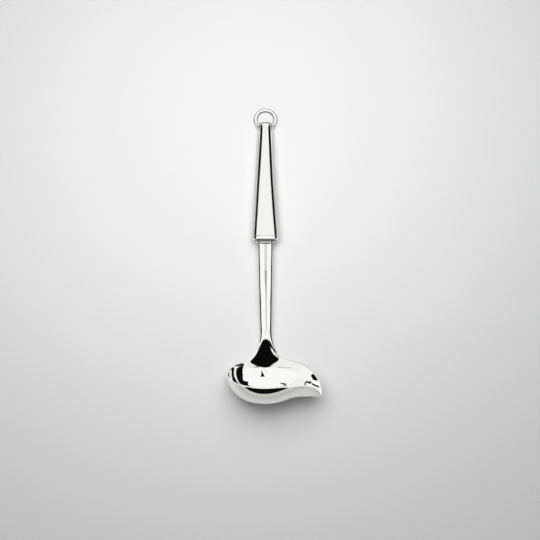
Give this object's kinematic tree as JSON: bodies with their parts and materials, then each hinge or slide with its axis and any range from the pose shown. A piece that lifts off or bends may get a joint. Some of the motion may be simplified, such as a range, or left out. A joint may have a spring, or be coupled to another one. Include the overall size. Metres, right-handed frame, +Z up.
{
  "type": "gravy ladle",
  "caption": "Polished steel gravy ladle: deep bowl with a side pouring lip, bowed shank, hollow tapered handle and a hanging ring that swings in the handle's tip.",
  "frame": {"origin": "on the table, under the middle of the ladle's box as it lies", "axes": "+Y along the ladle towards the hanging ring, +Z up from the table, +X towards the side of the pouring lip"},
  "size_m": [0.0836, 0.2638, 0.0673],
  "materials": {
    "polished_steel": "mirror-polished stainless steel",
    "polished_cap": "mirror-polished stainless steel",
    "satin_steel": "fine satin-polished stainless steel",
    "polished_ring": "polished stainless steel wire"
  },
  "bodies": {
    "ladle": {"bowl_and_shank": "polished_steel", "end_cap": "polished_cap", "handle_tube": "satin_steel"},
    "ring": {"hanging_ring": "polished_ring"}
  },
  "joints": [
    {"name": "ring_swing", "type": "hinge", "parent": "ladle", "child": "ring", "pos_m": [-0.00785, 0.11546, 0.00636], "axis": [1, 0, 0], "range_deg": [-66, 94]}
  ]
}
